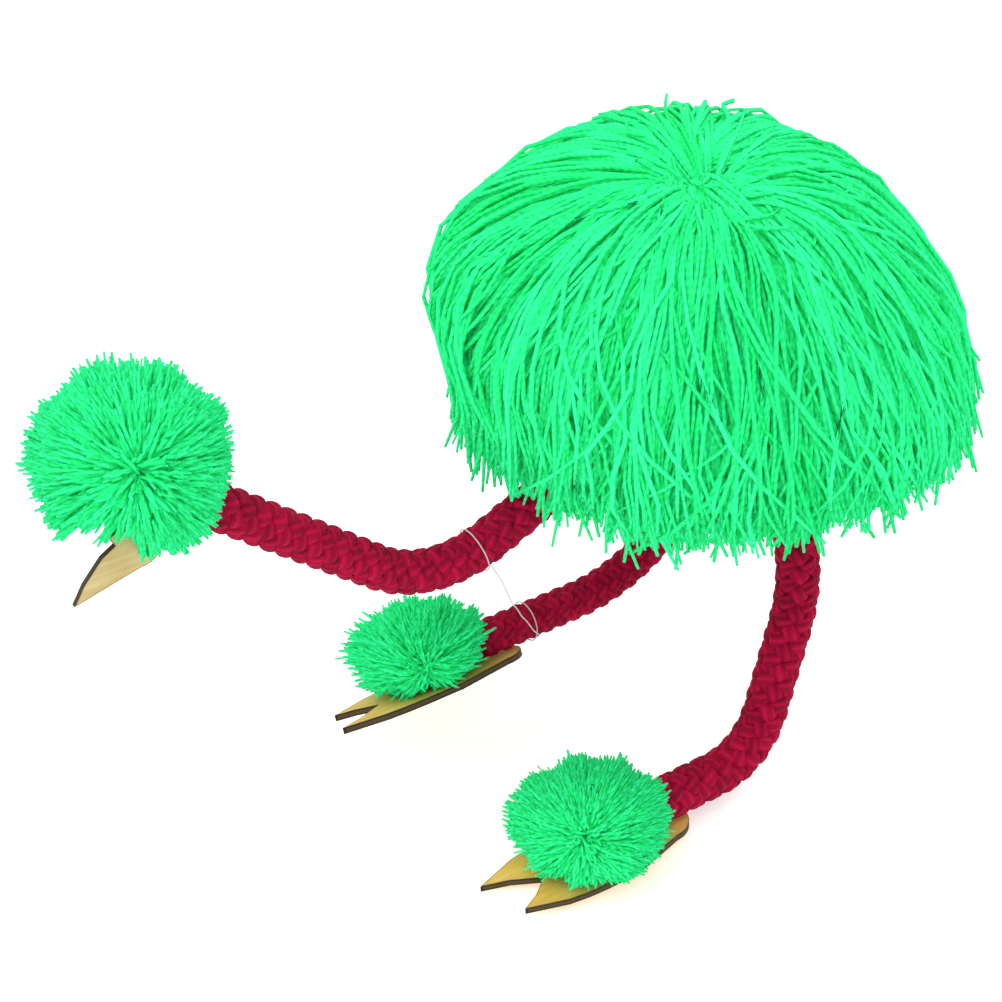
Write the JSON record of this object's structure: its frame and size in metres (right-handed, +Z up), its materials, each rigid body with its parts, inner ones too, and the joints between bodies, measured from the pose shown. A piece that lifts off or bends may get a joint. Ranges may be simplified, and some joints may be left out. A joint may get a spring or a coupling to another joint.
{
  "type": "string marionette",
  "caption": "Ostrich string marionette with a mop body, braided neck and legs that bend, a pompom head with a beak and flat soles.",
  "frame": {"origin": "mouth of the lifting string's bore, at the top of the body ball", "axes": "+Z up out of the bore, -Y to the front where the bird faces, +X to the bird's left"},
  "size_m": [0.16, 0.285, 0.1919],
  "materials": {
    "mop_yarn": "long loose strands of plied yarn",
    "pompom_yarn": "cut strands of plied yarn",
    "pompom_cord": "knotted yarn",
    "neck_braid": "braided yarn",
    "leg_braid": "braided yarn",
    "sole_plywood": "bare plywood with scorched edges",
    "beak_plywood": "bare plywood with scorched edges",
    "turned_wood": "bare turned wood",
    "black_paint": "black satin paint on wood",
    "thread": "thin pale thread"
  },
  "bodies": {
    "torso": {"body_ball": "turned_wood", "crown_button": "turned_wood", "yarn_mop": "mop_yarn", "mop_front_lock": "mop_yarn", "neck_root": "neck_braid", "left_leg_root": "leg_braid", "right_leg_root": "leg_braid"},
    "neck_swivel": {"neck_collar": "neck_braid"},
    "lower_neck": {"neck_lower_braid": "neck_braid", "neck_thread_loop": "thread", "control_thread": "thread"},
    "upper_neck": {"neck_upper_braid": "neck_braid"},
    "head": {"neck_tip": "neck_braid", "head_ball": "black_paint", "beak": "beak_plywood", "head_pompom": "pompom_yarn"},
    "left_thigh": {"left_thigh_braid": "leg_braid"},
    "left_shin": {"left_shin_braid": "leg_braid"},
    "left_foot": {"left_ankle_braid": "leg_braid", "left_sole": "sole_plywood", "left_pompom_tie": "pompom_cord", "left_foot_pompom": "pompom_yarn"},
    "right_thigh": {"right_thigh_braid": "leg_braid"},
    "right_shin": {"right_shin_braid": "leg_braid"},
    "right_foot": {"right_ankle_braid": "leg_braid", "right_sole": "sole_plywood", "right_pompom_tie": "pompom_cord", "right_foot_pompom": "pompom_yarn", "leg_thread_loop": "thread"}
  },
  "joints": [
    {"name": "neck_sway", "type": "hinge", "parent": "torso", "child": "neck_swivel", "pos_m": [0, -0.04385, -0.05752], "axis": [0, 0, 1], "range_deg": [-35, 35], "stiffness_Nm_per_rad": 1.2, "deforming": ["mop_front_lock"]},
    {"name": "neck_lift", "type": "hinge", "parent": "neck_swivel", "child": "lower_neck", "pos_m": [0, -0.06029, -0.06484], "axis": [-1, 0, 0], "range_deg": [-35, 30], "stiffness_Nm_per_rad": 1.2, "deforming": ["control_thread"]},
    {"name": "neck_curl", "type": "hinge", "parent": "lower_neck", "child": "upper_neck", "pos_m": [0, -0.10142, -0.07171], "axis": [-1, 0, 0], "range_deg": [-45, 20], "stiffness_Nm_per_rad": 0.8},
    {"name": "head_nod", "type": "hinge", "parent": "upper_neck", "child": "head", "pos_m": [0, -0.15238, -0.03157], "axis": [-1, 0, 0], "range_deg": [-35, 25], "stiffness_Nm_per_rad": 0.4},
    {"name": "left_hip", "type": "hinge", "parent": "torso", "child": "left_thigh", "pos_m": [0.02416, 0.018, -0.07432], "axis": [-0.9703, 0, -0.2419], "range_deg": [-50, 20], "stiffness_Nm_per_rad": 0.35},
    {"name": "left_knee", "type": "hinge", "parent": "left_thigh", "child": "left_shin", "pos_m": [0.03255, 0.01662, -0.10796], "axis": [-0.9703, 0, -0.2419], "range_deg": [-55, 15], "stiffness_Nm_per_rad": 0.25},
    {"name": "left_ankle", "type": "hinge", "parent": "left_shin", "child": "left_foot", "pos_m": [0.04345, -0.00892, -0.15168], "axis": [-0.9703, 0, -0.2419], "range_deg": [-45, 10], "stiffness_Nm_per_rad": 0.2},
    {"name": "right_hip", "type": "hinge", "parent": "torso", "child": "right_thigh", "pos_m": [-0.02303, 0.018, -0.07454], "axis": [-0.9903, 0, 0.1392], "range_deg": [-50, 15], "stiffness_Nm_per_rad": 0.35},
    {"name": "right_knee", "type": "hinge", "parent": "right_thigh", "child": "right_shin", "pos_m": [-0.02903, 0.01575, -0.11726], "axis": [-0.9903, 0, 0.1392], "range_deg": [-55, 8], "stiffness_Nm_per_rad": 0.25},
    {"name": "right_ankle", "type": "hinge", "parent": "right_shin", "child": "right_foot", "pos_m": [-0.03188, -0.03099, -0.13747], "axis": [-0.9903, 0, 0.1392], "range_deg": [-45, 10], "stiffness_Nm_per_rad": 0.2}
  ]
}
